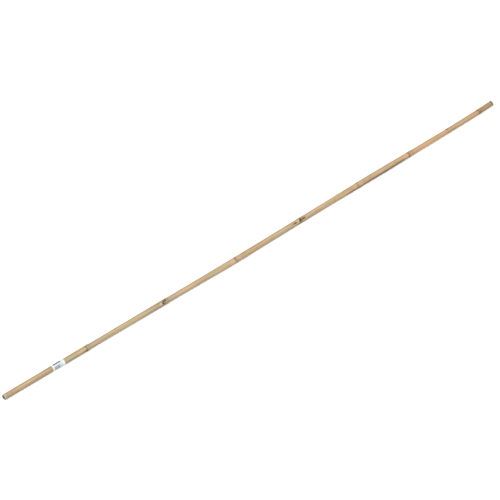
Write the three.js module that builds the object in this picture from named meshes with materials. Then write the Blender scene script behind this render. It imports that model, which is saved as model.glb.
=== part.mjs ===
// A natural bamboo cane of the kind that holds up plants, lying on a flat surface.
//
// Millimetres, +Z up, +X along the cane from its butt to its tip. The origin is under the middle of
// the cane, on the surface that it lies on. "Along" is the distance from the butt's sawn face.
//
// The culm grew as one piece, so it is one solid: a profile turned about its axis, then laid along a
// centreline that turns a little at each node. It is open at both sawn ends, as far as the first and
// the last diaphragm. A paper sleeve is wrapped round it near the butt.

import * as THREE from 'three';

// Driving dimensions of the culm. Diameters are over the skin, and the heights are its centre's.

const LENGTH = 1500;
const SIDES = 24;
const BUTT_DIAMETER = 13.8;
const TIP_DIAMETER = 13.0;
const BUTT_HEIGHT = 8;
const TIP_HEIGHT = 7.2;

// The nodes, from the butt up: how far along each is, the diameters over its sheath scar and just
// below and above it, how far the centreline there bows out from the line between the two ends, and
// how far its ring stands clear of the surface. The cane rests on three of its rings.

const NODES = [
  { along: 242, scar: 16.0, below: 15.1, above: 13.3, bow: -1.9, clear: 0 },
  { along: 475, scar: 15.0, below: 14.5, above: 13.1, bow: -3.9, clear: 0.65 },
  { along: 689, scar: 16.0, below: 15.3, above: 15.0, bow: -6.2, clear: 0 },
  { along: 892, scar: 14.5, below: 13.7, above: 13.6, bow: -4.4, clear: 0.65 },
  { along: 1069, scar: 15.4, below: 14.6, above: 14.8, bow: -3.8, clear: 0.65 },
  { along: 1230, scar: 14.6, below: 13.9, above: 13.0, bow: -3.8, clear: 0.65 },
  { along: 1354, scar: 13.3, below: 12.5, above: 12.4, bow: -3.5, clear: 0.65 },
  { along: 1453, scar: 13.6, below: 12.8, above: 12.8, bow: -1.9, clear: 0 },
];

// The diameter halfway along each internode, one more than there are nodes.

const INTERNODE_DIAMETERS = [13.9, 13.6, 13.9, 14.1, 13.8, 14.9, 12.8, 12.6, 12.9];
const STEPS_TO_MIDDLE = 3;

// A node's profile, the same at each: the swelling below it, the sharp ridge that the sheath left, a
// groove, a rounder ridge, and the end of the swelling above it. Distances are from the node.

const SWELLING_BELOW = 13;
const SCAR_FOOT = 2.4;
const SCAR_HALF_WIDTH = 0.6;
const GROOVE_ABOVE = 2.2;
const CREST_ABOVE = 5.5;
const SWELLING_ABOVE = 14;
const FOOT_RISE = 0.25;
const GROOVE_RISE = 0.35;
const CREST_RISE = 0.75;
const TURN_LENGTH = 24;

// The hollows behind the sawn ends: radius, and how far short of the node the diaphragm stops them.

const BUTT_LUMEN_RADIUS = 3.8;
const TIP_LUMEN_RADIUS = 3.7;
const DIAPHRAGM_HALF_THICKNESS = 2;
const DIAPHRAGM_FILLET = 2;

// The paper sleeve, wound loosely enough to leave a little air under it.

const SLEEVE_START = 142;
const SLEEVE_LENGTH = 35;
const SLEEVE_CLEARANCE = 0.3;
const SLEEVE_THICKNESS = 0.15;
const SLEEVE_RINGS = 5;

const BAMBOO = new THREE.MeshStandardMaterial({ color: 0xc5ac88, roughness: 0.45, metalness: 0 });
const PAPER = new THREE.MeshStandardMaterial({ color: 0xe0e4e3, roughness: 0.7, metalness: 0 });

/** The value between a and b at part u of the way, easing in and out. */
function ease(a, b, u) {
  return THREE.MathUtils.lerp(a, b, THREE.MathUtils.smoothstep(u, 0, 1));
}

/** Reads a list of (value, along) points at one place; straight between them and past the ends. */
function readAt(points, along) {
  let last = 1;
  while (last < points.length - 1 && points[last].y < along) {
    last += 1;
  }
  const a = points[last - 1];
  const b = points[last];
  return a.x + (b.x - a.x) * (along - a.y) / (b.y - a.y);
}

/** The skin's profile across one node, as (radius, along) points. */
function nodeProfile(node) {
  const below = node.below / 2;
  const scar = node.scar / 2;
  const above = node.above / 2;
  return [
    new THREE.Vector2(below, node.along - SWELLING_BELOW),
    new THREE.Vector2(THREE.MathUtils.lerp(below, scar, FOOT_RISE), node.along - SCAR_FOOT),
    new THREE.Vector2(scar, node.along - SCAR_HALF_WIDTH),
    new THREE.Vector2(scar, node.along + SCAR_HALF_WIDTH),
    new THREE.Vector2(THREE.MathUtils.lerp(above, scar, GROOVE_RISE), node.along + GROOVE_ABOVE),
    new THREE.Vector2(THREE.MathUtils.lerp(above, scar, CREST_RISE), node.along + CREST_ABOVE),
    new THREE.Vector2(above, node.along + SWELLING_ABOVE),
  ];
}

/** Eased points after one profile point, up to and with the next one. */
function easedPoints(from, to) {
  return Array.from({ length: STEPS_TO_MIDDLE }, (_, step) => {
    const u = (step + 1) / STEPS_TO_MIDDLE;
    return new THREE.Vector2(ease(from.x, to.x, u), THREE.MathUtils.lerp(from.y, to.y, u));
  });
}

/** The skin's whole profile from butt to tip, as (radius, along) points. */
function skinProfile() {
  const points = [new THREE.Vector2(BUTT_DIAMETER / 2, 0)];
  INTERNODE_DIAMETERS.forEach((diameter, index) => {
    const start = points[points.length - 1];
    const node = NODES[index];
    const next = node ? nodeProfile(node) : [new THREE.Vector2(TIP_DIAMETER / 2, LENGTH)];
    const middle = new THREE.Vector2(diameter / 2, (start.y + next[0].y) / 2);
    points.push(...easedPoints(start, middle), ...easedPoints(middle, next[0]), ...next.slice(1));
  });
  return points;
}

/** One lumen's profile from its mouth in to the diaphragm, ending on the axis. */
function lumenProfile(radius, mouth, node) {
  const inward = Math.sign(node.along - mouth);
  const wall = node.along - inward * DIAPHRAGM_HALF_THICKNESS;
  return [
    new THREE.Vector2(radius, mouth),
    new THREE.Vector2(radius, wall - inward * DIAPHRAGM_FILLET),
    new THREE.Vector2(radius - DIAPHRAGM_FILLET / 2, wall - inward * DIAPHRAGM_FILLET / 3),
    new THREE.Vector2(0, wall),
  ];
}

const SKIN = skinProfile();

// Where the centreline runs: sideways and up, as (offset, along) points.

const BOW = [
  new THREE.Vector2(0, 0),
  ...NODES.map((node) => new THREE.Vector2(node.bow, node.along)),
  new THREE.Vector2(0, LENGTH),
];
const HEIGHT = [
  new THREE.Vector2(BUTT_HEIGHT, 0),
  ...NODES.map((node) => new THREE.Vector2(node.scar / 2 + node.clear, node.along)),
  new THREE.Vector2(TIP_HEIGHT, LENGTH),
];

/** The centreline's sideways place, with each turn shared over a short stretch about its node. */
function bowAt(along) {
  return (readAt(BOW, along - TURN_LENGTH / 2) + readAt(BOW, along + TURN_LENGTH / 2)) / 2;
}

/**
 * Turns a profile about its axis and lays the result along the cane's centreline. The sections are
 * polygons with a corner underneath, so that each ring that rests does so on a short straight line.
 */
function turned(profile) {
  const geometry = new THREE.LatheGeometry(profile, SIDES);
  geometry.rotateZ(-Math.PI / 2);
  const place = geometry.getAttribute('position');
  for (let index = 0; index < place.count; index += 1) {
    const along = place.getX(index);
    place.setXYZ(
      index,
      along - LENGTH / 2,
      place.getY(index) + bowAt(along),
      place.getZ(index) + readAt(HEIGHT, along),
    );
  }
  geometry.computeVertexNormals();
  return geometry;
}

/** The culm: its skin, both sawn faces and both lumens. */
function makeCane() {
  const buttLumen = lumenProfile(BUTT_LUMEN_RADIUS, 0, NODES[0]);
  const tipLumen = lumenProfile(TIP_LUMEN_RADIUS, LENGTH, NODES[NODES.length - 1]);
  const cane = new THREE.Mesh(turned([...buttLumen.reverse(), ...SKIN, ...tipLumen]), BAMBOO);
  cane.name = 'cane';
  return cane;
}

/** The paper sleeve: a thin tube that follows the skin just clear of it. */
function makeSleeve() {
  const outline = (offset) => Array.from({ length: SLEEVE_RINGS }, (_, ring) => {
    const along = SLEEVE_START + SLEEVE_LENGTH * ring / (SLEEVE_RINGS - 1);
    return new THREE.Vector2(readAt(SKIN, along) + offset, along);
  });
  const inside = outline(SLEEVE_CLEARANCE);
  const outside = outline(SLEEVE_CLEARANCE + SLEEVE_THICKNESS);
  const sleeve = new THREE.Mesh(turned([...outside, ...inside.reverse(), outside[0]]), PAPER);
  sleeve.name = 'label';
  return sleeve;
}

// The cane is set down with its box's middle over the origin.

const cane = makeCane();
const box = new THREE.Box3().setFromObject(cane);
const bambooCane = new THREE.Group();
bambooCane.add(cane, makeSleeve());
bambooCane.position.y = -(box.min.y + box.max.y) / 2;
bambooCane.position.z = -box.min.z;

export default bambooCane;
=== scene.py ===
"""A natural bamboo cane with its paper label, lying on a pale floor.

Metres, +Z up, +X along the cane from butt to tip. Facts about the culm are kept in millimetres, as
a grower would note them, with distances along it measured from the butt's sawn face.
"""

import logging
import math
from collections.abc import Iterable
from dataclasses import dataclass, field
from enum import Enum, IntEnum
from itertools import pairwise

import bmesh
import bpy
import numpy as np
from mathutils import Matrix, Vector


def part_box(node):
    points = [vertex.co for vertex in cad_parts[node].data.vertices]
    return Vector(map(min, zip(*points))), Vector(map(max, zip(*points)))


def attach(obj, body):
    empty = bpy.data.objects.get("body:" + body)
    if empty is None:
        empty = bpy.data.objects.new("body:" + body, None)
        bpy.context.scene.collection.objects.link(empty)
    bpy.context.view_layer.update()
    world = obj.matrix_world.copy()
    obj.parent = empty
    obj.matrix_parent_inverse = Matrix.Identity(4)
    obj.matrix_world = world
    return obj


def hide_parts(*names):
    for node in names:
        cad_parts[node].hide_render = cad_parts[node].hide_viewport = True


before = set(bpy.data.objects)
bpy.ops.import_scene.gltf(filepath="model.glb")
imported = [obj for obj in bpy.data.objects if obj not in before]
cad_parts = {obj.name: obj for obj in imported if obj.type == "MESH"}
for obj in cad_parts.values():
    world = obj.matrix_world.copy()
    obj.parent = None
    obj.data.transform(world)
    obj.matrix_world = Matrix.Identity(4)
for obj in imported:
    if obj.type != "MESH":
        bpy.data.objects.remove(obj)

MM = 0.001
TURN = 2 * math.pi

log = logging.getLogger("bamboo_cane")


# Small helpers


def linear(hex_colour: str, alpha: float = 1.0) -> tuple[float, float, float, float]:
    """Turns an sRGB hex colour to linear.

    Args:
        hex_colour: Six hex digits.
        alpha: The fourth number of the result.

    Returns:
        Red, green, blue and alpha.
    """
    shades = [int(hex_colour[i : i + 2], 16) / 255 for i in (0, 2, 4)]
    bright = [s / 12.92 if s <= 0.04045 else ((s + 0.055) / 1.055) ** 2.4 for s in shades]
    return (*bright, alpha)


def rise(low: float, high: float, value: np.ndarray) -> np.ndarray:
    """A smooth step.

    Args:
        low: Where the step starts, at 0.
        high: Where the step ends, at 1. It may be below low.
        value: The places to read.

    Returns:
        0 to 1 for each place.
    """
    part = np.clip((value - low) / (high - low), 0, 1)
    return part * part * (3 - 2 * part)


def hump(value: np.ndarray, width: float) -> np.ndarray:
    """A bell of height 1 about 0, which has faded by twice its width."""
    return np.exp(-((value / width) ** 2))


def ripple(
    along: np.ndarray,
    angle: np.ndarray,
    seed: int,
    turns: tuple[int, int],
    length: tuple[float, float],
    count: int = 12,
) -> np.ndarray:
    """Uneven waves that close up round the culm.

    Args:
        along: Each place's distance from the butt, in mm.
        angle: Each place's angle round the culm.
        seed: Picks the pattern.
        turns: The fewest and most waves round the culm.
        length: The shortest and longest wave along it, in mm.
        count: How many waves are summed.

    Returns:
        Heights of about -1 to 1.
    """
    chance = np.random.default_rng(seed)
    total = np.zeros_like(along)
    for _ in range(count):
        around = chance.integers(turns[0], turns[1] + 1)
        wave = chance.uniform(*length) * chance.choice((-1, 1))
        total += np.sin(around * angle + TURN * (along / wave + chance.random()))
    return total / math.sqrt(2 * count)


def clear_selection() -> None:
    """Leaves object mode with nothing selected."""
    if bpy.context.object and bpy.context.object.mode != "OBJECT":
        bpy.ops.object.mode_set(mode="OBJECT")
    bpy.ops.object.select_all(action="DESELECT")


def select_only(piece: bpy.types.Object) -> None:
    """Leaves one object selected and active, in object mode."""
    clear_selection()
    piece.select_set(True)
    bpy.context.view_layer.objects.active = piece


def pick(piece: bpy.types.Object, kind: str, wanted) -> int:
    """Selects parts of the mesh that is in edit mode, and nothing else.

    Args:
        piece: The object in edit mode.
        kind: VERT, EDGE or FACE.
        wanted: Says of one vertex, edge or face whether it is selected.

    Returns:
        How many were selected.
    """
    bpy.ops.mesh.select_mode(type=kind)
    bpy.ops.mesh.select_all(action="DESELECT")
    mesh = bmesh.from_edit_mesh(piece.data)
    parts = {"VERT": mesh.verts, "EDGE": mesh.edges, "FACE": mesh.faces}[kind]
    chosen = [part for part in parts if wanted(part)]
    for part in chosen:
        part.select_set(True)
    bmesh.update_edit_mesh(piece.data)
    return len(chosen)


def points_of(mesh: bpy.types.Mesh) -> np.ndarray:
    """The mesh's vertices as rows of x, y and z."""
    flat = np.empty(len(mesh.vertices) * 3)
    mesh.vertices.foreach_get("co", flat)
    return flat.reshape(-1, 3)


def move_points(mesh: bpy.types.Mesh, points: np.ndarray) -> None:
    """Puts the mesh's vertices at these rows of x, y and z."""
    mesh.vertices.foreach_set("co", points.ravel())
    mesh.update()


def keep_on_points(mesh: bpy.types.Mesh, name: str, kind: str, rows: np.ndarray) -> None:
    """Stores one value for each vertex.

    Args:
        mesh: The mesh that keeps them.
        name: The attribute's name.
        kind: FLOAT, FLOAT_VECTOR or FLOAT_COLOR.
        rows: The values in the vertices' order.
    """
    socket = {"FLOAT": "value", "FLOAT_VECTOR": "vector", "FLOAT_COLOR": "color"}[kind]
    stored = mesh.attributes.new(name, kind, "POINT")
    stored.data.foreach_set(socket, rows.ravel())


def blank_material(name: str) -> tuple[bpy.types.Material, bpy.types.NodeTree]:
    """Makes a material with no nodes yet.

    Args:
        name: What it is called.

    Returns:
        The material and its node tree.
    """
    made = bpy.data.materials.new(name)
    made.use_nodes = True
    made.node_tree.nodes.clear()
    return made, made.node_tree


def add_node(tree: bpy.types.NodeTree, kind: str, inputs: dict | None = None, **settings):
    """Adds one shader node.

    Args:
        tree: The material's node tree.
        kind: The node's type.
        inputs: A value, or another node's output to link, for each input by name or number.
        settings: The node's own settings.

    Returns:
        The new node.
    """
    node = tree.nodes.new(kind)
    for name, value in settings.items():
        setattr(node, name, value)
    for name, value in (inputs or {}).items():
        if isinstance(value, bpy.types.NodeSocket):
            tree.links.new(value, node.inputs[name])
        else:
            node.inputs[name].default_value = value
    return node


def set_stops(ramp: bpy.types.Node, stops: Iterable[tuple[float, tuple]]) -> None:
    """Gives a colour ramp its stops.

    Args:
        ramp: A colour ramp node.
        stops: A place from 0 to 1 and a linear colour for each, in order.
    """
    kept = ramp.color_ramp.elements
    for index, (place, colour) in enumerate(stops):
        stop = kept[index] if index < 2 else kept.new(place)
        stop.position = place
        stop.color = colour


# What grew


class Tone(Enum):
    """The skin's colours, from the sun-bleached butt to the riper top."""

    GREY_STRAW = "b6a78f"
    STRAW = "c8b693"
    OLIVE_STRAW = "bcb291"
    PALE_STRAW = "ceb994"
    PINK_STRAW = "cfb494"
    DULL_TAN = "c0aa8a"
    TAN = "c8ae8c"
    ORANGE_TAN = "d5ae8a"
    BROWN_OLIVE = "bb9e7d"


class Stain(Enum):
    """What darkened or paled the skin."""

    WEATHER = "5a452f"
    BRANCH_SAP = "452a18"
    BUTT_SCUFF = "b3ab9e"
    BUTT_GRIME = "4f4b45"
    TIP_GRIME = "5f4e42"


class Surface(IntEnum):
    """The culm's kinds of surface, in the order of its material slots."""

    SKIN = 0
    SAWN = 1
    LINING = 2


class Bud(Enum):
    """What is left where a node bore its branch."""

    SLEEPING = "a flat closed bud"
    TRIMMED = "a branch cut off with a knife"
    TORN = "a branch and its two side shoots torn off"


class Side(Enum):
    """Which way a node's bud faces, as an angle from +Y. Buds stand on opposite sides by turns."""

    NEAR = math.radians(118)
    FAR = math.radians(298)


@dataclass(frozen=True)
class Mark:
    """A patch of colour on the skin near a node, mostly a stain. All lengths are in mm.

    Args:
        up: How far its middle is above the node's ring.
        facing: Which way it faces, in degrees from +Y over the top.
        length: Half its length along the culm.
        width: Half its width round the culm.
        shade: Its colour.
        strength: How much of that colour shows, from 0 to 1.
    """

    up: float
    facing: float
    length: float
    width: float
    shade: str
    strength: float


@dataclass(frozen=True)
class Node:
    """One ring of the culm. All lengths are in mm.

    Args:
        along: Distance from the butt.
        scar: Diameter over the ridge where the sheath sat.
        below: Diameter just below the node.
        above: Diameter just above it.
        bow: How far the centreline lies from the line between the two ends.
        clear: How far its ring stands off the floor.
        side: Which way its bud faces.
        bud: What is left of its branch.
        ring: The sheath scar's colour.
        ring_strength: How much of that colour shows, from 0 to 1.
        lean: How far the sheath scar runs aslant round the culm.
        marks: The patches of colour about it.
    """

    along: float
    scar: float
    below: float
    above: float
    bow: float
    clear: float
    side: Side
    bud: Bud
    ring: str
    ring_strength: float
    lean: float
    marks: tuple[Mark, ...]


@dataclass(frozen=True)
class Tear:
    """A split in the skin above or below a torn branch. All lengths are in mm.

    Args:
        low: Where it starts, above the node.
        high: Where it ends, above the node.
        aside: How far round from the bud line it starts.
        drift: How far round it moves for each mm along.
        width: Half its width.
    """

    low: float
    high: float
    aside: float
    drift: float
    width: float


TEARS = (
    Tear(-29, -9, -0.3, 0.03, 0.8),
    Tear(-23.0, -13.5, 0.3, 0.0, 2.1),
    Tear(-11, -5, 1.4, -0.05, 0.4),
    Tear(-1, 15, 0.6, -0.04, 1.4),
    Tear(0, 9, -2.4, 0.06, 0.8),
)

# A mark this wide goes right round the culm.
ALL_ROUND = 40.0

NODES = (
    Node(242, 16.0, 15.1, 13.3, -1.9, 0, Side.FAR, Bud.SLEEPING, "544829", 0.95, 0.7, (
        Mark(-19.0, 112, 10.0, 7.0, "cba778", 0.4),
        Mark(4.0, 105, 4.0, 8.0, "9a9668", 0.55),
        Mark(-2.5, 184, 6.0, 4.0, "50342a", 0.85),
    )),
    Node(475, 15.0, 14.5, 13.1, -3.9, 0.65, Side.NEAR, Bud.TRIMMED, "5c4a33", 0.35, -0.5, (
        Mark(-11.6, 124, 3.4, 3.4, "d6c2a2", 0.65),
        Mark(4.5, 120, 8.0, ALL_ROUND, "94835c", 0.5),
        Mark(-5.0, 190, 4.5, 4.0, "6a563c", 0.6),
    )),
    Node(689, 16.0, 15.3, 15.0, -6.2, 0, Side.FAR, Bud.SLEEPING, "5d4838", 0.45, 0.5, (
        Mark(-9.0, 118, 8.0, ALL_ROUND, "c9a184", 0.45),
        Mark(12.0, 118, 6.0, ALL_ROUND, "cba286", 0.4),
        Mark(-0.6, 84, 1.7, 8.0, "47362a", 0.9),
        Mark(3.6, 160, 4.2, 4.2, "76807c", 0.75),
    )),
    Node(892, 14.5, 13.7, 13.6, -4.4, 0.65, Side.NEAR, Bud.TORN, "5a3d2c", 0.35, -0.6, (
        Mark(-12.5, 118, 6.5, 3.8, "dfb99c", 0.6),
        Mark(5.5, 112, 6.0, 6.0, "a07c60", 0.5),
        Mark(-6.5, 186, 5.5, 3.6, "4d3828", 0.75),
    )),
    Node(1069, 15.4, 14.6, 14.8, -3.8, 0.65, Side.FAR, Bud.SLEEPING, "6d5638", 0.5, 0.4, (
        Mark(-7.0, 118, 5.5, ALL_ROUND, "c9ac6c", 0.5),
        Mark(8.0, 118, 6.5, ALL_ROUND, "c5a468", 0.5),
        # Darker along the underside across this node, from the end of internode 4.
        Mark(-12.0, 196, 30.0, 5.0, "3f2e1e", 0.85),
        Mark(-2.5, 118, 2.4, ALL_ROUND, "8f7a52", 0.45),
    )),
    Node(1230, 14.6, 13.9, 13.0, -3.8, 0.65, Side.NEAR, Bud.SLEEPING, "4d3a28", 0.6, -0.4, (
        # Darker along the underside of the whole of internode 5.
        Mark(-78.0, 200, 82.0, 5.0, "45311f", 0.7),
        Mark(-22.0, 112, 3.4, 4.0, "dc9c84", 0.55),
        Mark(-10.5, 118, 6.0, ALL_ROUND, "cdb488", 0.35),
        Mark(8.0, 118, 8.5, ALL_ROUND, "a5865c", 0.5),
        Mark(-1.8, 118, 1.2, ALL_ROUND, "4a3726", 0.5),
    )),
    Node(1354, 13.3, 12.5, 12.4, -3.5, 0.65, Side.FAR, Bud.SLEEPING, "5b4633", 0.5, 0.4, (
        Mark(8.0, 112, 7.0, ALL_ROUND, "a98a68", 0.45),
        Mark(-0.8, 52, 2.8, 4.5, "46352a", 0.8),
        Mark(-4.5, 108, 0.9, 0.8, "5a3f2c", 0.7),
        Mark(4.0, 140, 1.2, 0.8, "5a3f2c", 0.6),
    )),
    Node(1453, 13.6, 12.8, 12.8, -1.9, 0, Side.NEAR, Bud.SLEEPING, "5a452f", 0.5, -0.3, (
        Mark(5.0, 118, 9.0, ALL_ROUND, "8d7850", 0.4),
        Mark(-1.8, 50, 2.6, 5.0, "42332a", 0.85),
        Mark(4.2, 160, 3.4, 3.6, "6a5c33", 0.7),
    )),
)


@dataclass(frozen=True)
class Internode:
    """One stretch between nodes.

    Args:
        diameter: Halfway along, in mm.
        tones: The skin's colours, evenly spaced from its lower end to its upper.
        shade: How much painted shade darkens its near lower side, from 0 to 1.
    """

    diameter: float
    tones: tuple[Tone, ...]
    shade: float


INTERNODES = (
    Internode(13.9, (Tone.DULL_TAN, Tone.TAN, Tone.DULL_TAN, Tone.OLIVE_STRAW, Tone.STRAW), 0.7),
    Internode(13.6, (Tone.GREY_STRAW, Tone.STRAW, Tone.STRAW, Tone.GREY_STRAW), 0.5),
    Internode(13.9, (Tone.GREY_STRAW, Tone.PINK_STRAW, Tone.STRAW, Tone.PALE_STRAW), 0.5),
    Internode(14.1, (Tone.TAN, Tone.PINK_STRAW, Tone.STRAW, Tone.DULL_TAN), 0.6),
    Internode(13.8, (Tone.DULL_TAN, Tone.PINK_STRAW, Tone.PALE_STRAW, Tone.PINK_STRAW), 0.65),
    Internode(14.9, (Tone.TAN, Tone.PINK_STRAW, Tone.PINK_STRAW, Tone.ORANGE_TAN), 1.0),
    Internode(12.8, (Tone.TAN, Tone.ORANGE_TAN, Tone.ORANGE_TAN, Tone.ORANGE_TAN), 0.35),
    Internode(12.6, (Tone.TAN, Tone.TAN, Tone.ORANGE_TAN), 0.4),
    Internode(12.9, (Tone.BROWN_OLIVE, Tone.BROWN_OLIVE), 0.4),
)


# Which way the painted shade on the near lower side faces, and the greyer painted shade on the far
# upper side, in degrees from +Y.
SHADED_SIDE = 200
FAR_SHADE_SIDE = 45


# Finishes


@dataclass(frozen=True)
class BambooSkin:
    """Dried bamboo skin, cut green and left to bleach: a hard, silica-rich satin surface.

    It gives a soft long highlight over fine lengthwise fibres, with clouds of olive and pink, rows
    of small mould freckles and dark sheath scars. The tones are painted on the culm's points.
    """

    roughness: float = 0.42
    fine_fibre: tuple[float, float] = (60, 0.6)
    broad_streak: tuple[float, float] = (140, 2.4)
    cloud: tuple[float, float] = (26, 7)
    freckle: float = 1.6
    relief: float = 0.06

    def make(self) -> bpy.types.Material:
        """Returns the material."""
        skin, tree = blank_material("dried_bamboo_skin")
        grown = add_node(tree, "ShaderNodeAttribute", attribute_name="grown").outputs["Vector"]
        fibres = self.stretched(tree, grown, *self.fine_fibre)
        streaks = self.stretched(tree, grown, *self.broad_streak)
        clouds = self.stretched(tree, grown, *self.cloud)
        tone = self.coloured(tree, grown, fibres, streaks, clouds)
        stain = add_node(tree, "ShaderNodeAttribute", attribute_name="stain")
        broken = add_node(
            tree, "ShaderNodeMapRange",
            {"Value": fibres, "From Min": 0.3, "From Max": 0.62, "To Min": 0.72, "To Max": 1.0},
        )
        strength = add_node(
            tree, "ShaderNodeMath",
            {0: stain.outputs["Alpha"], 1: broken.outputs["Result"]},
            operation="MULTIPLY",
        )
        stained = add_node(
            tree, "ShaderNodeMix",
            {"Factor": strength.outputs[0], "A": tone, "B": stain.outputs["Color"]},
            data_type="RGBA",
        )
        gloss = add_node(
            tree, "ShaderNodeMapRange",
            {"Value": streaks, "From Min": 0.3, "From Max": 0.7,
             "To Min": self.roughness - 0.05, "To Max": self.roughness + 0.07},
        )
        rough = add_node(
            tree, "ShaderNodeMath",
            {0: strength.outputs[0], 1: 0.3, 2: gloss.outputs["Result"]},
            operation="MULTIPLY_ADD",
            use_clamp=True,
        )
        bump = add_node(
            tree, "ShaderNodeBump",
            {"Height": fibres, "Strength": 0.7, "Distance": self.relief * MM},
        )
        shader = add_node(
            tree, "ShaderNodeBsdfPrincipled",
            {"Base Color": stained.outputs["Result"], "Roughness": rough.outputs[0],
             "Normal": bump.outputs["Normal"], "IOR": 1.4},
        )
        add_node(tree, "ShaderNodeOutputMaterial", {"Surface": shader.outputs["BSDF"]})
        return skin

    def stretched(self, tree, grown, length: float, width: float):
        """Noise drawn out along the fibres.

        Args:
            tree: The material's node tree.
            grown: The output with places on the straight culm.
            length: Rough length of one mark, in mm.
            width: Rough width of one mark, in mm.

        Returns:
            The noise's output, from 0 to 1.
        """
        scale = (1 / (length * MM), 1 / (width * MM), 1 / (width * MM))
        laid = add_node(tree, "ShaderNodeMapping", {"Vector": grown, "Scale": scale})
        noise = add_node(
            tree, "ShaderNodeTexNoise",
            {"Vector": laid.outputs["Vector"], "Scale": 1.0, "Detail": 3.0, "Roughness": 0.55},
        )
        return noise.outputs["Fac"]

    def coloured(self, tree, grown, fibres, streaks, clouds):
        """The painted tone with clouds, streaks, fibres and freckles over it.

        Args:
            tree: The material's node tree.
            grown: The output with places on the straight culm.
            fibres: Fine noise along the fibres.
            streaks: Broad noise along the fibres.
            clouds: Soft blotches.

        Returns:
            The colour output.
        """
        tone = add_node(tree, "ShaderNodeAttribute", attribute_name="tone").outputs["Color"]
        cloud_tint = add_node(tree, "ShaderNodeValToRGB", {"Fac": clouds})
        set_stops(cloud_tint, [
            (0.28, linear("e6f0c8")),
            (0.44, linear("fdfdf4")),
            (0.56, linear("fffdfb")),
            (0.72, linear("ffdcca")),
        ])
        streak_tint = add_node(tree, "ShaderNodeValToRGB", {"Fac": streaks})
        set_stops(streak_tint, [
            (0.28, linear("d6cdc0")),
            (0.50, linear("f9f6f1")),
            (0.74, linear("ffffff")),
        ])
        fibre_tint = add_node(tree, "ShaderNodeValToRGB", {"Fac": fibres})
        set_stops(fibre_tint, [
            (0.30, linear("d6cec2")),
            (0.48, linear("faf8f4")),
            (0.70, linear("ffffff")),
        ])
        layered = tone
        for tint in (cloud_tint, streak_tint, fibre_tint):
            layered = add_node(
                tree, "ShaderNodeMix",
                {"Factor": 1.0, "A": layered, "B": tint.outputs["Color"]},
                data_type="RGBA",
                blend_type="MULTIPLY",
            ).outputs["Result"]
        return add_node(
            tree, "ShaderNodeMix",
            {"Factor": self.freckles(tree, grown), "A": layered, "B": linear("7a6548")},
            data_type="RGBA",
        ).outputs["Result"]

    def freckles(self, tree, grown):
        """Small mould spots, in loose patches.

        Args:
            tree: The material's node tree.
            grown: The output with places on the straight culm.

        Returns:
            How much each place is darkened, from 0 to 1.
        """
        laid = add_node(
            tree, "ShaderNodeMapping", {"Vector": grown, "Scale": (0.55 / MM, 1 / MM, 1 / MM)}
        )
        spots = add_node(
            tree, "ShaderNodeTexVoronoi",
            {"Vector": laid.outputs["Vector"], "Scale": 1 / self.freckle},
        )
        dark = add_node(
            tree, "ShaderNodeMapRange",
            {"Value": spots.outputs["Distance"], "From Min": 0.10, "From Max": 0.22,
             "To Min": 0.8, "To Max": 0.0},
            interpolation_type="SMOOTHSTEP",
        )
        patch = add_node(
            tree, "ShaderNodeTexNoise", {"Vector": grown, "Scale": 1 / (16 * MM), "Detail": 2.0}
        )
        where = add_node(
            tree, "ShaderNodeMapRange",
            {"Value": patch.outputs["Fac"], "From Min": 0.56, "From Max": 0.68},
            interpolation_type="SMOOTHSTEP",
        )
        return add_node(
            tree, "ShaderNodeMath",
            {0: dark.outputs["Result"], 1: where.outputs["Result"]},
            operation="MULTIPLY",
        ).outputs[0]


@dataclass(frozen=True)
class EndGrain:
    """Bamboo sawn across: pale matt pith with dark fibre bundles, closer together near the skin.

    It gives a speckled straw face with a thin hard rim and faint saw lines.
    """

    bundle: float = 0.85
    saw_pitch: float = 0.7

    def make(self) -> bpy.types.Material:
        """Returns the material."""
        grain, tree = blank_material("sawn_bamboo_end_grain")
        grown = add_node(tree, "ShaderNodeAttribute", attribute_name="grown").outputs["Vector"]
        flat = add_node(
            tree, "ShaderNodeMapping", {"Vector": grown, "Scale": (0, 1 / MM, 1 / MM)}
        ).outputs["Vector"]
        centre_out = add_node(tree, "ShaderNodeVectorMath", {0: flat}, operation="LENGTH")
        ground = add_node(
            tree, "ShaderNodeMapRange",
            {"Value": centre_out.outputs["Value"], "From Min": 3.4, "From Max": 6.9},
        )
        shade = add_node(tree, "ShaderNodeValToRGB", {"Fac": ground.outputs["Result"]})
        set_stops(shade, [
            (0.0, linear("8f8672")),
            (0.40, linear("bfb5a0")),
            (0.80, linear("b0a58e")),
            (1.0, linear("857a66")),
        ])
        bundles = add_node(tree, "ShaderNodeTexVoronoi", {"Vector": flat, "Scale": 1 / self.bundle})
        dots = add_node(
            tree, "ShaderNodeMapRange",
            {"Value": bundles.outputs["Distance"], "From Min": 0.18, "From Max": 0.36,
             "To Min": 0.85, "To Max": 0.0},
            interpolation_type="SMOOTHSTEP",
        )
        dotted = add_node(
            tree, "ShaderNodeMix",
            {"Factor": dots.outputs["Result"], "A": shade.outputs["Color"], "B": linear("76603f")},
            data_type="RGBA",
        )
        saw = add_node(
            tree, "ShaderNodeTexWave",
            {"Vector": flat, "Scale": 1 / (self.saw_pitch * TURN), "Distortion": 1.5, "Detail": 2.0},
            bands_direction="Z",
        )
        bump = add_node(
            tree, "ShaderNodeBump",
            {"Height": saw.outputs["Fac"], "Strength": 0.6, "Distance": 0.08 * MM},
        )
        shader = add_node(
            tree, "ShaderNodeBsdfPrincipled",
            {"Base Color": dotted.outputs["Result"], "Roughness": 0.85,
             "Normal": bump.outputs["Normal"]},
        )
        add_node(tree, "ShaderNodeOutputMaterial", {"Surface": shader.outputs["BSDF"]})
        return grain


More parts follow.
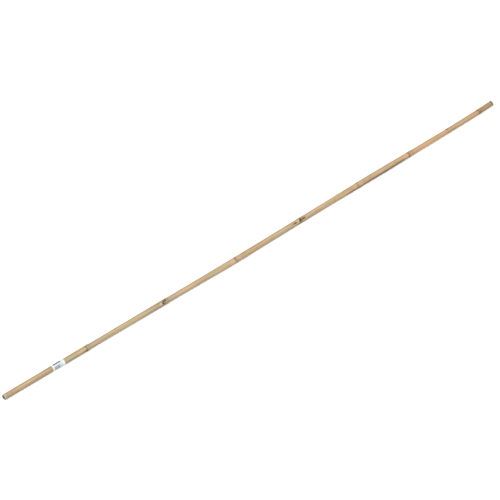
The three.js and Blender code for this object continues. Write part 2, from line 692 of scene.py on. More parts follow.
@dataclass(frozen=True)
class Pith:
    """The papery lining of an old bamboo hollow: matt and torn, painted dark brown as the shade inside
    the hollow.
    """

    def make(self) -> bpy.types.Material:
        """Returns the material."""
        lining, tree = blank_material("bamboo_lining_painted_shade")
        grown = add_node(tree, "ShaderNodeAttribute", attribute_name="grown").outputs["Vector"]
        laid = add_node(
            tree, "ShaderNodeMapping",
            {"Vector": grown, "Scale": (1 / (12 * MM), 1 / (0.8 * MM), 1 / (0.8 * MM))},
        )
        torn = add_node(
            tree, "ShaderNodeTexNoise",
            {"Vector": laid.outputs["Vector"], "Scale": 1.0, "Detail": 4.0},
        )
        # Painted shade: these browns are kept dark to stand for the shade inside the hollow.
        shade = add_node(tree, "ShaderNodeValToRGB", {"Fac": torn.outputs["Fac"]})
        set_stops(shade, [
            (0.32, linear("3a3226")),
            (0.50, linear("574c3a")),
            (0.66, linear("7a6c53")),
        ])
        bump = add_node(
            tree, "ShaderNodeBump",
            {"Height": torn.outputs["Fac"], "Strength": 0.8, "Distance": 0.12 * MM},
        )
        shader = add_node(
            tree, "ShaderNodeBsdfPrincipled",
            {"Base Color": shade.outputs["Color"], "Roughness": 0.9,
             "Normal": bump.outputs["Normal"]},
        )
        add_node(tree, "ShaderNodeOutputMaterial", {"Surface": shader.outputs["BSDF"]})
        return lining


# The culm


@dataclass
class Culm:
    """The cane itself: a grown culm, sawn a little aslant and open at both ends.

    Args:
        start: The butt's place along X, in metres.
        end: The tip's place along X, in metres.
        aside: How far the line between the two ends lies from the X axis, in metres.
    """

    start: float
    end: float
    aside: float
    butt_diameter: float = 13.8
    tip_diameter: float = 13.0
    butt_height: float = 8.0
    tip_height: float = 7.2
    butt_wall: float = 3.1
    tip_wall: float = 2.8
    rim_rings: int = 4
    lip: float = 0.4
    hollow_step: float = 12
    diaphragm: float = 3
    saw_lean: float = math.radians(6)
    broken_mouth: float = 0.9
    turn_length: float = 24
    swelling: float = 13
    sides: int = 96
    coarse_step: float = 4.0
    fine_step: float = 0.55
    node_reach: tuple[float, float] = (7, 12)
    torn_reach: tuple[float, float] = (30, 16)
    nodes: tuple[Node, ...] = NODES
    internodes: tuple[Internode, ...] = INTERNODES
    profile: np.ndarray = field(init=False)

    def __post_init__(self) -> None:
        """Works out the smooth profile, without the rings."""
        rows = [(0.0, self.butt_diameter)]
        for index, stretch in enumerate(self.internodes):
            before = rows[-1]
            node = self.nodes[index] if index < len(self.nodes) else None
            after = (self.length, self.tip_diameter)
            if node:
                after = (node.along - self.swelling, node.below)
            middle = ((before[0] + after[0]) / 2, stretch.diameter)
            for a, b in ((before, middle), (middle, after)):
                part = np.linspace(0, 1, 7)[1:]
                eased = rise(0, 1, part)
                rows += zip(a[0] + (b[0] - a[0]) * part, a[1] + (b[1] - a[1]) * eased)
            if node:
                rows.append((node.along, (node.below + node.above) / 2))
                rows.append((node.along + self.swelling, node.above))
        self.profile = np.array(rows)

    @property
    def length(self) -> float:
        """The cane's length in mm."""
        return (self.end - self.start) / MM

    def radius(self, along: np.ndarray) -> np.ndarray:
        """The skin's radius in mm, without the rings, at distances along it in mm."""
        return np.interp(along, self.profile[:, 0], self.profile[:, 1]) / 2

    def ringed(self, along: np.ndarray) -> np.ndarray:
        """The skin's radius in mm with its rings, at distances along it in mm."""
        total = self.radius(along)
        for node in self.nodes:
            place = along - node.along
            ridge = (node.scar - (node.below + node.above) / 2) / 2
            ledge = np.where(place < 0, hump(place, 1.5), hump(place, 0.6))
            crest = hump(place - 5.5, 2.8) * 0.75 * (node.scar - node.above) / 2
            total = total + ridge * ledge + crest
        return total

    def bow(self, along: np.ndarray) -> np.ndarray:
        """The centreline's sideways place in mm, each turn shared over a stretch about its node."""
        places = np.array([0, *(node.along for node in self.nodes), self.length])
        asides = np.array([0, *(node.bow for node in self.nodes), 0])
        return sum(self.straight(along + step, places, asides) for step in self.half_turns) / 2

    @property
    def half_turns(self) -> tuple[float, float]:
        """Where each half of a turn is made, from its node, in mm."""
        return (-self.turn_length / 2, self.turn_length / 2)

    @staticmethod
    def straight(along: np.ndarray, places: np.ndarray, values: np.ndarray) -> np.ndarray:
        """Reads a bent line, straight on past its ends."""
        before = (values[1] - values[0]) / (places[1] - places[0])
        after = (values[-1] - values[-2]) / (places[-1] - places[-2])
        short = np.minimum(along - places[0], 0)
        past = np.maximum(along - places[-1], 0)
        return np.interp(along, places, values) + before * short + after * past

    def height(self, along: np.ndarray) -> np.ndarray:
        """The centreline's height in mm: three rings rest on the floor and the others clear it."""
        places = np.array([0, *(node.along for node in self.nodes), self.length])
        at_nodes = (node.scar / 2 + node.clear for node in self.nodes)
        heights = [self.butt_height, *at_nodes, self.tip_height]
        return np.interp(along, places, heights)

    def build(self) -> bpy.types.Object:
        """Makes the culm and dresses it.

        Returns:
            The finished piece.
        """
        culm = self.drawn_out()
        self.hollow(culm, self.start, 1, self.butt_wall, self.nodes[0].along)
        self.hollow(culm, self.end, -1, self.tip_wall, self.length - self.nodes[-1].along)
        self.cut_finer(culm)
        self.dress(culm)
        self.carve(culm)
        self.unwrap(culm)
        self.lay(culm)
        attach(culm, "root")
        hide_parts("cane")
        log.info("culm: %d faces", len(culm.data.polygons))
        return culm

    def stations(self) -> list[float]:
        """Where the stem's section is set, in mm from the butt."""
        marks = {round(float(along), 1) for along in self.profile[:, 0]}
        for node in self.nodes:
            marks |= {node.along + step for step in (-2.5, -0.9, 0.0, 1.0, 2.2, 5.5, 9.0)}
        return sorted(marks)

    def drawn_out(self) -> bpy.types.Object:
        """Draws a disc out to a closed straight stem, ring by ring.

        Returns:
            The stem on the X axis.
        """
        clear_selection()
        marks = self.stations()
        radii = self.ringed(np.array(marks))
        bpy.ops.mesh.primitive_circle_add(
            vertices=self.sides, radius=radii[0] * MM, fill_type="NGON",
            location=(self.start, 0, 0), rotation=(0, math.pi / 2, 0),
        )
        culm = bpy.context.object
        culm.name = "bamboo_culm"
        bpy.ops.object.transform_apply(location=True, rotation=True, scale=True)
        bpy.ops.object.mode_set(mode="EDIT")
        for (before, here), (thin, thick) in zip(pairwise(marks), pairwise(radii)):
            bpy.ops.mesh.extrude_region_move(
                TRANSFORM_OT_translate={"value": ((here - before) * MM, 0, 0)}
            )
            bpy.ops.transform.resize(
                value=(1, thick / thin, thick / thin),
                center_override=(self.start + here * MM, 0, 0),
            )
        bpy.ops.mesh.select_all(action="SELECT")
        bpy.ops.mesh.normals_make_consistent(inside=False)
        bpy.ops.object.mode_set(mode="OBJECT")
        return culm

    def hollow(self, culm, face: float, inward: int, wall: float, depth: float) -> None:
        """Rings one sawn end and opens its hollow, as far as the node's diaphragm.

        Args:
            culm: The stem.
            face: The sawn face's place along X, in metres.
            inward: 1 or -1, the way in along X.
            wall: The wall's thickness in mm.
            depth: How far in the node is, in mm.
        """
        select_only(culm)
        bpy.ops.object.mode_set(mode="EDIT")
        pick(culm, "FACE", lambda f: abs(f.calc_center_median().x - face) < 1e-5)
        for _ in range(self.rim_rings):
            bpy.ops.mesh.inset(thickness=wall * MM / self.rim_rings)
        bpy.ops.mesh.extrude_region_move(
            TRANSFORM_OT_translate={"value": (inward * self.lip * MM, 0, 0)}
        )
        steps = max(4, round(depth / self.hollow_step))
        stride = (depth - self.diaphragm) / steps
        for _ in range(steps):
            bpy.ops.mesh.extrude_region_move(
                TRANSFORM_OT_translate={"value": (inward * stride * MM, 0, 0)}
            )
        for shrink, bulge in ((0.6, 0.5), (0.9, 0.35), (0.9, 0.2)):
            bpy.ops.mesh.inset(thickness=shrink * MM)
            bpy.ops.transform.translate(value=(inward * bulge * MM, 0, 0))
        bpy.ops.mesh.poke()
        bpy.ops.object.mode_set(mode="OBJECT")

    def step_at(self, along: float) -> float:
        """The longest a lengthwise edge may be, in mm, at a distance along the culm."""
        for node in self.nodes:
            below, above = self.torn_reach if node.bud is Bud.TORN else self.node_reach
            if node.along - below < along < node.along + above:
                return self.fine_step
        return self.coarse_step

    def cut_finer(self, culm) -> None:
        """Halves the skin's lengthwise edges until each is short enough for its place."""
        select_only(culm)
        bpy.ops.object.mode_set(mode="EDIT")
        inner = (min(self.butt_diameter, self.tip_diameter) / 2 - 1.0) * MM

        def too_long(edge: bmesh.types.BMEdge) -> bool:
            """Says whether an edge runs along the skin and is too long for its place."""
            low, high = sorted(vert.co.x for vert in edge.verts)
            if high - low < 1e-5 or math.hypot(*edge.verts[0].co.yz) < inner:
                return False
            middle = ((low + high) / 2 - self.start) / MM
            return (high - low) / MM > self.step_at(middle)

        while pick(culm, "EDGE", too_long):
            bpy.ops.mesh.subdivide(number_cuts=1)
        bpy.ops.object.mode_set(mode="OBJECT")

    def dress(self, culm) -> None:
        """Gives the skin, the sawn faces and the hollows their materials."""
        mesh = culm.data
        for finish in (BambooSkin(), EndGrain(), Pith()):
            mesh.materials.append(finish.make())
        centres = np.empty(len(mesh.polygons) * 3)
        mesh.polygons.foreach_get("center", centres)
        centres = centres.reshape(-1, 3)
        out = np.hypot(centres[:, 1], centres[:, 2]) / MM
        from_end = np.minimum(centres[:, 0] - self.start, self.end - centres[:, 0]) / MM
        kinds = np.full(len(centres), Surface.SKIN)
        kinds[out < self.tip_diameter / 2 - self.tip_wall / 2] = Surface.LINING
        kinds[from_end < 0.01] = Surface.SAWN
        mesh.polygons.foreach_set("material_index", kinds.astype(np.int32))
        mesh.update()

    def carve(self, culm) -> None:
        """Keeps each point's place on the straight culm, then gives the skin its growth marks."""
        mesh = culm.data
        points = points_of(mesh)
        along = (points[:, 0] - self.start) / MM
        out = np.hypot(points[:, 1], points[:, 2]) / MM
        angle = np.arctan2(points[:, 2], points[:, 1])
        skin = out > self.radius(along) - 1.0
        marks = GrowthMarks(self, along, angle)
        keep_on_points(mesh, "tone", "FLOAT_COLOR", marks.tones())
        keep_on_points(mesh, "stain", "FLOAT_COLOR", marks.stains())
        grown = np.stack([along, out * np.cos(angle), out * np.sin(angle)], 1) * MM
        keep_on_points(mesh, "grown", "FLOAT_VECTOR", grown)
        depth = np.minimum(along, self.length - along)
        broken = self.broken_mouth * rise(5, 0, depth) * (1 + 0.25 * marks.lining())
        carved = np.where(skin, marks.radii(), out + 0.18 * marks.lining() + broken)
        carved = np.where(out < 0.01, out, carved)
        points[:, 1] = carved * np.cos(angle) * MM
        points[:, 2] = carved * np.sin(angle) * MM
        inward = np.where(along < self.length / 2, 1, -1)
        points[:, 0] += np.where(skin & (depth < 0.01), inward * marks.splinters() * MM, 0)
        facing = 0.5 + 0.5 * np.cos(angle - Side.NEAR.value) * out / self.radius(along)
        lean = 2 * self.radius(along) * math.tan(self.saw_lean) * facing * rise(16, 0, depth)
        points[:, 0] += inward * lean * MM
        move_points(mesh, points)

    def unwrap(self, culm) -> None:
        """Lays the surface out flat in lengthwise strips, on a map for whoever paints it."""
        mesh = culm.data
        sheet = 306.0
        strips = 6
        strip_length = self.length / strips
        girth = 45.5
        gap = 1.5
        margin = 4
        column = strip_length + 12
        disc_scale = 2
        disc_middle = 17
        loops = np.empty(len(mesh.loops), np.int32)
        mesh.loops.foreach_get("vertex_index", loops)
        grown = np.empty(len(mesh.vertices) * 3)
        mesh.attributes["grown"].data.foreach_get("vector", grown)
        grown = grown.reshape(-1, 3)[loops] / MM
        starts = np.array([face.loop_start for face in mesh.polygons])
        counts = np.array([face.loop_total for face in mesh.polygons])
        kinds = np.array([face.material_index for face in mesh.polygons])
        owner = np.repeat(np.arange(len(starts)), counts)
        middle = np.add.reduceat(grown, starts)[owner] / counts[owner][:, None]
        kind = kinds[owner]
        angle = np.arctan2(grown[:, 2], grown[:, 1])
        facing = np.arctan2(middle[:, 2], middle[:, 1])
        angle = facing + (angle - facing + math.pi) % TURN - math.pi
        round_about = (angle + math.pi) / TURN
        spread = np.zeros((len(loops), 2))
        strip = np.clip(middle[:, 0] // strip_length, 0, strips - 1)
        skin = kind == Surface.SKIN
        spread[skin, 0] = (grown[:, 0] - strip * strip_length + margin)[skin]
        spread[skin, 1] = (strip * (girth + gap) + 1 + round_about * girth)[skin]
        upper = middle[:, 0] > self.length / 2
        sawn = kind == Surface.SAWN
        spread[sawn, 0] = (column + disc_middle + disc_scale * grown[:, 1])[sawn]
        spread[sawn, 1] = (disc_middle * (1 + 2 * upper) + disc_scale * grown[:, 2])[sawn]
        lining = kind == Surface.LINING
        out = np.hypot(grown[:, 1], grown[:, 2])
        depth = np.where(upper, self.length - grown[:, 0], grown[:, 0])
        room = np.where(upper, 40.0, 200.0)
        reach = np.where(upper, self.length - self.nodes[-1].along, self.nodes[0].along)
        way = depth / reach * (room - 8) + np.maximum(3.4 - out, 0) * 2
        spread[lining, 0] = np.where(upper, column + 2 + way * 0.75, 4 + way)[lining]
        spread[lining, 1] = np.where(upper, 75 + 24 * round_about, 283 + 20 * round_about)[lining]
        map_ = mesh.uv_layers.new(name="OFBake", do_init=False)
        map_.uv.foreach_set("vector", (spread / sheet).astype(np.float32).ravel())

    def lay(self, culm) -> None:
        """Lays the straight culm along its real centreline and smooths its shading."""
        mesh = culm.data
        points = points_of(mesh)
        along = (points[:, 0] - self.start) / MM
        points[:, 1] += self.aside + self.bow(along) * MM
        points[:, 2] += self.height(along) * MM
        move_points(mesh, points)
        select_only(culm)
        bpy.ops.object.shade_smooth_by_angle(angle=math.radians(40))


@dataclass
class GrowthMarks:
    """What growth and handling left on the culm, read at each of its points.

    Args:
        culm: The culm.
        along: Each point's distance from the butt, in mm.
        angle: Each point's angle round the culm.
    """

    culm: Culm
    along: np.ndarray
    angle: np.ndarray

    def aslant(self, node: Node) -> np.ndarray:
        """Each point's distance above a node's scar, which runs slightly aslant and unevenly."""
        tilt = node.lean * np.cos(self.angle - node.side.value)
        uneven = 0.22 * ripple(self.angle * 0, self.angle, round(node.along), (2, 9), (9, 10), 8)
        return self.along - node.along - tilt - uneven

    def angle_from(self, facing: float) -> np.ndarray:
        """Each point's angle from a place round the culm, which is given in degrees from +Y."""
        return (self.angle - math.radians(facing) + math.pi) % TURN - math.pi

    def from_bud(self, node: Node) -> np.ndarray:
        """Each point's distance round the culm from a node's bud line, in mm."""
        apart = (self.angle - node.side.value + math.pi) % TURN - math.pi
        return apart * node.scar / 2

    def radii(self) -> np.ndarray:
        """Each point's distance from the culm's axis, in mm, if it is on the skin."""
        total = self.culm.radius(self.along)
        total += 0.07 * np.cos(2 * self.angle + self.along / 190)
        total += 0.035 * ripple(self.along, self.angle, 11, (14, 34), (400, 1600), 16)
        total += 0.045 * ripple(self.along, self.angle, 12, (2, 7), (60, 240))
        for index, node in enumerate(self.culm.nodes):
            place = self.aslant(node)
            ridge = (node.scar - (node.below + node.above) / 2) / 2 - 0.08
            frayed = 1 + 0.2 * ripple(self.along, self.angle, 40 + index, (12, 30), (30, 40))
            ledge = np.where(place < 0, hump(place, 1.4), hump(place, 0.5))
            crest = hump(place - 5.6, 2.6) * 0.8 * (node.scar - node.above) / 2
            total += ridge * ledge * frayed + crest - 0.16 * hump(place - 1.6, 0.9)
            total -= self.groove(index, node)
            total += self.bud_relief(index, node)
        return total

    def groove(self, index: int, node: Node) -> np.ndarray:
        """How deep the flattened furrow above a bud is, in mm."""
        last = index + 1 == len(self.culm.nodes)
        top = self.culm.length if last else self.culm.nodes[index + 1].along
        part = (self.along - node.along) / (top - node.along)
        runs = rise(6, 14, self.along - node.along) * rise(0.75, 0.25, part)
        return 0.55 * runs * hump(self.from_bud(node), 2.6)

    def bud_relief(self, index: int, node: Node) -> np.ndarray:
        """How far what is left of a node's branch stands out, in mm."""
        up = self.along - node.along
        across = self.from_bud(node)
        rough = ripple(self.along, self.angle, 70 + index, (10, 30), (3, 9))
        if node.bud is Bud.SLEEPING:
            taper = 1.3 * (1.0 - 0.12 * (up - 3))
            body = hump((up - 3.4) / 2.3, 1.0) * hump(across, np.maximum(taper, 0.5))
            return 0.45 * body
        if node.bud is Bud.TRIMMED:
            out = self.stub(node) + 0.05 * rough
            return 1.0 * rise(1.3, 0.95, out) - 0.75 * rise(0.85, 0.4, out)
        out = self.stub(node) + 0.14 * rough
        torn = 0.8 * rise(1.35, 0.8, out) - 0.6 * rise(0.7, 0.25, out)
        return torn - 0.35 * self.tears(node)

    def stub(self, node: Node) -> np.ndarray:
        """How far each point is from the middle of a branch's stub, where 1 is its edge."""
        up = self.along - node.along
        across = self.from_bud(node)
        if node.bud is Bud.TRIMMED:
            return np.hypot((up + 1.9 + 0.45 * across) / 4.4, across / 3.9)
        return np.hypot((up + 3.4) / 3.3, across / 3.4)

    def tears(self, node: Node) -> np.ndarray:
        """Where the skin split above and below a torn branch, from 0 to 1."""
        up = self.along - node.along
        across = self.from_bud(node)
        total = np.zeros_like(up)
        for tear in TEARS:
            line = tear.aside + tear.drift * (up - tear.low)
            fade = min(4, (tear.high - tear.low) / 2)
            ends = rise(tear.low, tear.low + fade, up) * rise(tear.high, tear.high - fade, up)
            total += ends * hump(across - line, tear.width)
        spike = hump(up + 2.4, 1.1) * rise(10.5, 7, -across) * rise(1.0, -2.0, across)
        return np.clip(total + spike, 0, 1)

    def lining(self) -> np.ndarray:
        """How far the hollow's lining stands in or out, from about -1 to 1."""
        return ripple(self.along, self.angle, 21, (2, 8), (20, 90))

    def splinters(self) -> np.ndarray:
        """How far the saw chipped the skin's rim back, in mm."""
        chipped = ripple(self.angle * 0, self.angle, 31, (3, 26), (9, 10), 18)
        return 0.12 + 0.2 * np.clip(chipped, 0, 1.5)

    def tones(self) -> np.ndarray:
        """Each point's skin colour, linear, with alpha 1; painted shade darkens the near lower side
        and greys the far upper side.
        """
        ends = [0.0, *(node.along for node in self.culm.nodes), self.culm.length]
        colours = np.ones((len(self.along), 4))
        for stretch, (low, high) in zip(self.culm.internodes, pairwise(ends)):
            here = (self.along >= low) & (self.along <= high)
            shades = np.array([linear(tone.value) for tone in stretch.tones])
            places = np.linspace(low, high, len(shades))
            for channel in range(3):
                colours[here, channel] = np.interp(self.along[here], places, shades[:, channel])
            under = 0.5 + 0.5 * np.cos(self.angle[here] - math.radians(SHADED_SIDE))
            behind = 0.5 + 0.5 * np.cos(self.angle[here] - math.radians(FAR_SHADE_SIDE))
            # Painted shade: the near lower side is darkened by each internode's shade.
            dark = 1 - 0.52 * stretch.shade * rise(0.5, 1.0, under)
            # Painted shade: the far upper side is made a little darker and greyer.
            far_shade = np.array(linear("f0f2f6")[:3]) ** rise(0.5, 1.0, behind)[:, None]
            colours[here, :3] *= dark[:, None] * far_shade
        return colours

    def stains(self) -> np.ndarray:
        """What darkens or pales the skin at each point: a linear colour, with its strength."""
        colour = np.tile(linear(Stain.WEATHER.value), (len(self.along), 1))
        colour[:, 3] = 0
        uneven = ripple(self.along, self.angle, 81, (3, 12), (5, 16))
        for node in self.culm.nodes:
            for mark in node.marks:
                self.lay_over(colour, mark.shade, self.spread(node, mark, uneven))
            place = self.aslant(node)
            line = np.where(place < 0, hump(place, 0.75), hump(place, 1.3))
            self.lay_over(colour, node.ring, node.ring_strength * line)
            sap = rise(0.12, 0.72, self.bud_stain(node))
            self.lay_over(colour, Stain.BRANCH_SAP.value, sap)
        scuffed = rise(7.0, 3.0, self.along + 0.8 * uneven)
        self.lay_over(colour, Stain.BUTT_SCUFF.value, 0.8 * scuffed)
        # Darker grey on the butt's underside, over its first few mm.
        underneath = hump(self.angle_from(SHADED_SIDE), 0.7)
        self.lay_over(colour, Stain.BUTT_GRIME.value, 0.7 * scuffed * underneath)
        from_tip = self.culm.length - self.along
        grimy = 0.9 * rise(6.5, 1.5, from_tip + 0.7 * uneven)
        self.lay_over(colour, Stain.TIP_GRIME.value, grimy)
        return colour

    def spread(self, node: Node, mark: Mark, uneven: np.ndarray) -> np.ndarray:
        """How much of a mark shows at each point.

        Args:
            node: The node that it is near.
            mark: The mark.
            uneven: How ragged its edge is at each point, from about -1 to 1.

        Returns:
            From 0 to the mark's strength.
        """
        apart = self.angle_from(mark.facing) * node.scar / 2
        up = (self.along - node.along - mark.up) / mark.length
        out = np.hypot(up, apart / mark.width) + 0.16 * uneven
        return mark.strength * rise(1.35, 0.55, out)

    def bud_stain(self, node: Node) -> np.ndarray:
        """How dark what is left of a node's branch is, from 0 to 1."""
        up = self.along - node.along
        across = self.from_bud(node)
        if node.bud is Bud.SLEEPING:
            return 0.45 * hump((up - 3.2) / 2.2, 1.0) * hump(across, 1.5)
        out = self.stub(node)
        if node.bud is Bud.TRIMMED:
            rim = hump(out - 1.0, 0.36) * (1 - 0.9 * rise(-1.5, 1.0, up) * rise(-1.5, 0.8, across))
            hook = hump((up + 2.5 - 0.9 * across) / 3.2, 1.0) * hump(across + 1.4 + 0.35 * up, 0.9)
            return np.clip(1.2 * rim + 0.9 * hook * rise(1.0, 0.8, out), 0, 1)
        body = 0.95 * rise(1.4, 0.85, out + 0.25 * ripple(self.along, self.angle, 83, (4, 12), (4, 9)))
        return np.maximum(body, 0.95 * self.tears(node))

    @staticmethod
    def lay_over(colour: np.ndarray, shade: str, strength: np.ndarray) -> None:
        """Lays one stain over those already there.

        Args:
            colour: Rows of linear colour and strength, changed in place.
            shade: The stain's hex colour.
            strength: How much of it there is at each point, from 0 to 1.
        """
        kept = colour[:, 3] * (1 - strength)
        total = np.maximum(kept + strength, 1e-6)
        for channel, value in enumerate(linear(shade)[:3]):
            colour[:, channel] = (colour[:, channel] * kept + value * strength) / total
        colour[:, 3] = kept + strength


# The label


@dataclass(frozen=True)
class Band:
    """One printed block on the label. Places run from 0 to 1 across the sheet.

    Args:
        left: Where it starts along the cane.
        right: Where it ends.
        low: Where it starts round the cane.
        high: Where it ends.
        ink: Its colour.
        bars: How fine the bars are that it is broken into, or 0 for a plain block.
    """

    left: float
    right: float
    low: float
    high: float
    ink: str
    bars: float = 0.0


@dataclass(frozen=True)
class PrintedPaper:
    """Coated white paper, flexo printed in faded grey-teal, with plain blocks and bars.

    It gives a smooth, nearly matt white sheet whose ink is a little soft at the edges. The bars
    stand for a code and the dashes for small print, and say nothing.
    """

    paper: str = "d9d7d0"
    wash: str = "c6d0d2"
    bands: tuple[Band, ...] = (
        Band(0.13, 0.72, 0.235, 0.362, "66716f"),
        Band(0.13, 0.62, 0.448, 0.50, "8d979f"),
        Band(0.12, 0.58, 0.50, 0.64, "757a8c", 46.0),
        Band(0.64, 0.78, 0.46, 0.60, "bac3c7"),
        Band(0.20, 0.74, 0.66, 0.675, "8b93a0", 58.0),
        Band(0.20, 0.74, 0.70, 0.715, "8b93a0", 61.0),
        Band(0.20, 0.74, 0.74, 0.755, "8b93a0", 64.0),
    )

    def make(self) -> bpy.types.Material:
        """Returns the printed side's material, which reads the sheet's own map."""
        paper, tree = blank_material("printed_label_paper")
        sheet = add_node(tree, "ShaderNodeUVMap", uv_map="sheet").outputs["UV"]
        split = add_node(tree, "ShaderNodeSeparateXYZ", {"Vector": sheet})
        along, around = split.outputs["X"], split.outputs["Y"]
        colour = add_node(tree, "ShaderNodeRGB").outputs[0]
        colour.default_value = linear(self.paper)
        washed = self.block(tree, along, around, 0.14, 0.82, 0.05, 0.97)
        colour = self.printed(tree, colour, self.wash, washed)
        for band in self.bands:
            where = self.block(tree, along, around, band.left, band.right, band.low, band.high)
            if band.bars:
                where = self.barred(tree, along, band.bars, where)
            colour = self.printed(tree, colour, band.ink, where)
        bump_source = add_node(
            tree, "ShaderNodeTexNoise", {"Vector": sheet, "Scale": 180.0, "Detail": 3.0}
        )
        bump = add_node(
            tree, "ShaderNodeBump",
            {"Height": bump_source.outputs["Fac"], "Strength": 0.3, "Distance": 0.03 * MM},
        )
        shader = add_node(
            tree, "ShaderNodeBsdfPrincipled",
            {"Base Color": colour, "Roughness": 0.55, "Normal": bump.outputs["Normal"]},
        )
        add_node(tree, "ShaderNodeOutputMaterial", {"Surface": shader.outputs["BSDF"]})
        return paper

    def block(self, tree, along, around, left: float, right: float, low: float, high: float):
        """A soft-edged rectangle on the sheet.

        Args:
            tree: The material's node tree.
            along: The sheet's place along the cane, from 0 to 1.
            around: The sheet's place round the cane, from 0 to 1.
            left: Where it starts along the cane.
            right: Where it ends.
            low: Where it starts round the cane.
            high: Where it ends.

        Returns:
            1 inside it and 0 outside.
        """
        inside = None
        for value, start, end in ((along, left, right), (around, low, high)):
            middle = add_node(
                tree, "ShaderNodeMath", {0: value, 1: (start + end) / 2}, operation="SUBTRACT"
            )
            apart = add_node(tree, "ShaderNodeMath", {0: middle.outputs[0]}, operation="ABSOLUTE")
            edge = add_node(
                tree, "ShaderNodeMapRange",
                {"Value": apart.outputs[0], "From Min": (end - start) / 2 + 0.004,
                 "From Max": (end - start) / 2 - 0.004},
            ).outputs["Result"]
            inside = edge if inside is None else add_node(
                tree, "ShaderNodeMath", {0: inside, 1: edge}, operation="MULTIPLY"
            ).outputs[0]
        return inside

    def barred(self, tree, along, fineness: float, where):
        """Breaks a block into bars of uneven width.

        Args:
            tree: The material's node tree.
            along: The sheet's place along the cane, from 0 to 1.
            fineness: How fine the bars are.
            where: How much ink the whole block has, from 0 to 1.

        Returns:
            How much ink is left, from 0 to 1.
        """
        noise = add_node(
            tree, "ShaderNodeTexNoise",
            {"W": along, "Scale": fineness, "Detail": 1.0},
            noise_dimensions="1D",
        )
        inked = add_node(
            tree, "ShaderNodeMath", {0: noise.outputs["Fac"], 1: 0.45}, operation="GREATER_THAN"
        )
        return add_node(
            tree, "ShaderNodeMath", {0: where, 1: inked.outputs[0]}, operation="MULTIPLY"
        ).outputs[0]

    def printed(self, tree, under, ink: str, where):
        """Lays ink over the colour so far.

        Args:
            tree: The material's node tree.
            under: The colour output so far.
            ink: The ink's hex colour.
            where: How much ink there is, from 0 to 1.

        Returns:
            The new colour output.
        """
        return add_node(
            tree, "ShaderNodeMix",
            {"Factor": where, "A": under, "B": linear(ink)},
            data_type="RGBA",
        ).outputs["Result"]


@dataclass(frozen=True)
class PlainPaper:
    """The label's unprinted back and cut edges: matt off-white paper with a little tooth."""

    def make(self) -> bpy.types.Material:
        """Returns the material."""
        paper, tree = blank_material("plain_label_paper")
        place = add_node(tree, "ShaderNodeTexCoord").outputs["Object"]
        tooth = add_node(
            tree, "ShaderNodeTexNoise", {"Vector": place, "Scale": 1 / (0.4 * MM), "Detail": 3.0}
        )
        shade = add_node(tree, "ShaderNodeValToRGB", {"Fac": tooth.outputs["Fac"]})
        set_stops(shade, [(0.35, linear("dcdad0")), (0.65, linear("eeece4"))])
        shader = add_node(
            tree, "ShaderNodeBsdfPrincipled",
            {"Base Color": shade.outputs["Color"], "Roughness": 0.8},
        )
        add_node(tree, "ShaderNodeOutputMaterial", {"Surface": shader.outputs["BSDF"]})
        return paper


@dataclass
class Label:
    """A paper sticker wound once round the cane, its end lapped over its start.

    Args:
        culm: The cane that it is wound round.
        low: Its start along X, in metres.
        high: Its end along X, in metres.
    """

    culm: Culm
    low: float
    high: float
    clearance: float = 0.28
    thickness: float = 0.1
    lap: float = 5.0
    skew: float = 0.9
    seam: float = math.radians(300)
    columns: int = 40
    rows: int = 150

    def build(self) -> bpy.types.Object:
        """Makes the label and dresses it.

        Returns:
            The finished piece.
        """
        clear_selection()
        bpy.ops.mesh.primitive_grid_add(
            x_subdivisions=self.columns, y_subdivisions=self.rows, size=1, location=(0, 0, 0)
        )
        label = bpy.context.object
        label.name = "paper_label"
        mesh = label.data
        mesh.uv_layers[0].name = "sheet"
        for finish in (PrintedPaper(), PlainPaper()):
            mesh.materials.append(finish.make())
        self.wind(mesh)
        bpy.ops.object.mode_set(mode="EDIT")
        bpy.ops.mesh.select_all(action="SELECT")
        bpy.ops.mesh.normals_make_consistent(inside=False)
        bpy.ops.object.mode_set(mode="OBJECT")
        wall = label.modifiers.new("paper", "SOLIDIFY")
        wall.thickness = self.thickness * MM
        wall.offset = 1
        wall.material_offset = 1
        wall.material_offset_rim = 1
        bpy.ops.object.modifier_apply(modifier=wall.name)
        bpy.ops.object.shade_smooth_by_angle(angle=math.radians(40))
        self.unwrap(mesh)
        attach(label, "root")
        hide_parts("label")
        log.info("label: %d faces", len(mesh.polygons))
        return label

    def wind(self, mesh: bpy.types.Mesh) -> None:
        """Winds the flat sheet round the cane, with its lap, its skew and its small buckles."""
        flat = points_of(mesh)
        across = flat[:, 0] + 0.5
        way = flat[:, 1] + 0.5
        start = (self.low - self.culm.start) / MM
        length = (self.high - self.low) / MM
        along = start + length * across + self.skew * (way - 0.5) * (across - 0.5)
        skin = self.culm.radius(along) + self.clearance
        wound = TURN + self.lap / skin
        angle = self.seam + wound * way
        lapped = rise(TURN - 0.15, TURN + 0.1, wound * way)
        buckles = ripple(along, angle, 51, (2, 6), (18, 60)) * (0.25 + np.abs(across - 0.5))
        corner = rise(0.93, 1.0, way) * rise(0.75, 1.0, across)
        out = skin + 0.03 + 0.17 * lapped + 0.08 * buckles + 0.5 * corner
        points = np.stack([
            self.culm.start + along * MM,
            self.culm.aside + (self.culm.bow(along) + out * np.cos(angle)) * MM,
            (self.culm.height(along) + out * np.sin(angle)) * MM,
        ], 1)
        move_points(mesh, points)

    def unwrap(self, mesh: bpy.types.Mesh) -> None:
        """Lays both sides of the paper and its edges out apart, on a map for whoever paints it."""
        uv = np.empty(len(mesh.loops) * 2, np.float32)
        mesh.uv_layers["sheet"].uv.foreach_get("vector", uv)
        uv = uv.reshape(-1, 2)
        kinds = np.empty(len(mesh.polygons), np.int32)
        mesh.polygons.foreach_get("material_index", kinds)
        counts = np.empty(len(mesh.polygons), np.int32)
        mesh.polygons.foreach_get("loop_total", counts)
        back = np.repeat(kinds, counts) == 1
        spread = uv * (0.48, 0.98) + (0.01, 0.01)
        spread[back, 0] += 0.5
        sheet_map = mesh.uv_layers.new(name="OFBake", do_init=False)
        sheet_map.uv.foreach_set("vector", spread.astype(np.float32).ravel())


# The studio


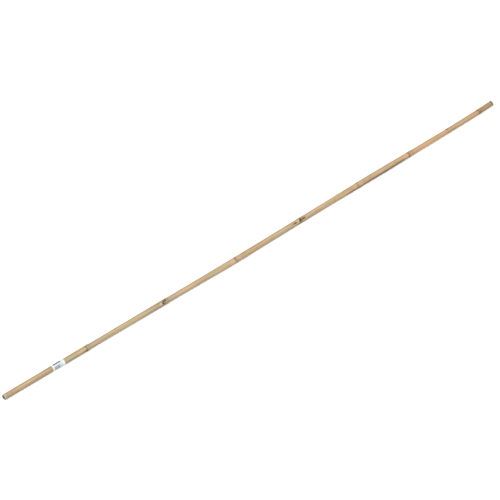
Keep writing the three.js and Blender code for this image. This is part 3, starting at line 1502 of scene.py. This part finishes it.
@dataclass(frozen=True)
class PaleFloor:
    """A smooth painted board: matt, nearly white, with a trace of mottle."""

    def make(self) -> bpy.types.Material:
        """Returns the material."""
        board, tree = blank_material("matt_white_board")
        place = add_node(tree, "ShaderNodeTexCoord").outputs["Object"]
        mottle = add_node(tree, "ShaderNodeTexNoise", {"Vector": place, "Scale": 3.0, "Detail": 2.0})
        shade = add_node(tree, "ShaderNodeValToRGB", {"Fac": mottle.outputs["Fac"]})
        set_stops(shade, [(0.3, linear("f8f8f7")), (0.7, linear("fafaf9"))])
        shader = add_node(
            tree, "ShaderNodeBsdfPrincipled",
            {"Base Color": shade.outputs["Color"], "Roughness": 0.9, "Specular IOR Level": 0.2},
        )
        add_node(tree, "ShaderNodeOutputMaterial", {"Surface": shader.outputs["BSDF"]})
        return board


@dataclass
class Studio:
    """The floor, a wide soft light overhead, pale surroundings and the camera."""

    floor_size: float = 14.0
    azimuth: float = -35.745
    elevation: float = 57.0
    distance: float = 10.0
    aim: tuple[float, float, float] = (-0.01053, 0.00441, 0.0)
    lens: float = 288.82
    surround: float = 0.5
    lamp_elevation: float = 75.0
    lamp_distance: float = 6.0
    lamp_power: float = 345.0
    lamp_size: tuple[float, float] = (5.0, 3.0)

    def build(self) -> None:
        """Makes the floor, the lights and the camera."""
        self.lay_floor()
        self.light()
        self.place_camera()

    def lay_floor(self) -> None:
        """Lays the floor under the cane."""
        clear_selection()
        bpy.ops.mesh.primitive_plane_add(size=self.floor_size, location=(0, 0, 0))
        floor = bpy.context.object
        floor.name = "pale_floor"
        floor.data.materials.append(PaleFloor().make())

    def light(self) -> None:
        """Hangs one wide soft light above the camera's side and makes the surroundings pale."""
        away = self.direction(self.lamp_elevation)
        bpy.ops.object.light_add(type="AREA", location=away * self.lamp_distance)
        lamp = bpy.context.object
        lamp.name = "overhead_softbox"
        lamp.rotation_mode = "QUATERNION"
        lamp.rotation_quaternion = (-away).to_track_quat("-Z", "Y")
        lamp.data.shape = "RECTANGLE"
        lamp.data.size, lamp.data.size_y = self.lamp_size
        lamp.data.energy = self.lamp_power
        lamp.visible_camera = False
        world = bpy.data.worlds.new("pale_room")
        world.use_nodes = True
        background = world.node_tree.nodes["Background"]
        background.inputs["Color"].default_value = (1, 1, 1, 1)
        background.inputs["Strength"].default_value = self.surround
        bpy.context.scene.world = world
        bpy.context.scene.view_settings.view_transform = "Standard"

    def direction(self, elevation: float) -> Vector:
        """The way out from the cane on the camera's side, at an elevation in degrees."""
        turn, tilt = math.radians(self.azimuth), math.radians(elevation)
        return Vector(
            (math.sin(turn) * math.cos(tilt), -math.cos(turn) * math.cos(tilt), math.sin(tilt))
        )

    def place_camera(self) -> None:
        """Stands the camera off the cane's near side, towards its butt, looking down across it."""
        back = self.direction(self.elevation)
        bpy.ops.object.camera_add(location=Vector(self.aim) + back * self.distance)
        camera = bpy.context.object
        camera.name = "camera"
        camera.rotation_mode = "QUATERNION"
        camera.rotation_quaternion = (-back).to_track_quat("-Z", "Y")
        camera.data.lens = self.lens
        camera.data.clip_end = 100
        bpy.context.scene.camera = camera


def main() -> None:
    """Builds the cane, its label and the studio."""
    logging.basicConfig(level=logging.INFO, format="%(message)s")
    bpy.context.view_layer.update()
    low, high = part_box("cane")
    culm = Culm(start=low.x, end=high.x, aside=high.y - Culm.butt_diameter / 2 * MM)
    culm.build()
    label_low, label_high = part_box("label")
    Label(culm=culm, low=label_low.x, high=label_high.x).build()
    Studio().build()


if __name__ == "__main__":
    main()
